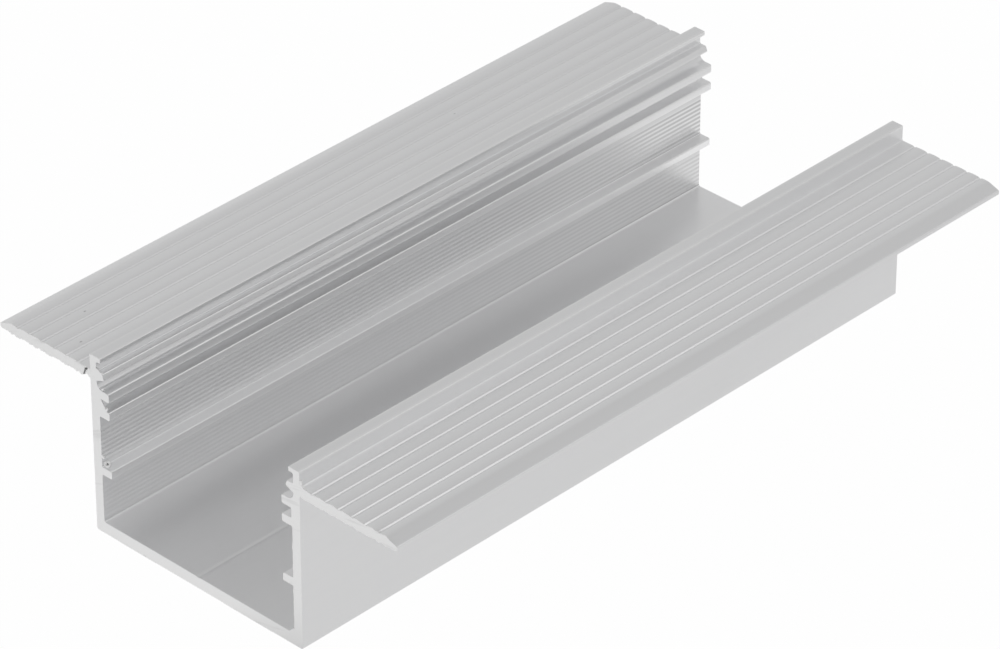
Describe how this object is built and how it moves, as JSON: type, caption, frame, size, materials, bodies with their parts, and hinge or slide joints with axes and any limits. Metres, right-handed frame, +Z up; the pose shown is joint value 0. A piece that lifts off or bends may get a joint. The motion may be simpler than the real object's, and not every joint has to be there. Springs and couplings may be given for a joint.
{
  "type": "recessed led profile",
  "caption": "Extruded aluminium channel for a recessed led light line: flanged, grooved tops for plaster, inner ribs, slots and snap edges for a cover and a light strip tray.",
  "frame": {"origin": "centre of the channel's underside", "axes": "+Y along the extrusion, +Z up out of the channel's mouth, X across the section from flange to flange"},
  "size_m": [0.0632, 0.1, 0.0238],
  "materials": {
    "mill_aluminium": "satin mill finish, with sawn ends"
  },
  "bodies": {
    "root": {"led_profile": "mill_aluminium"}
  },
  "joints": []
}
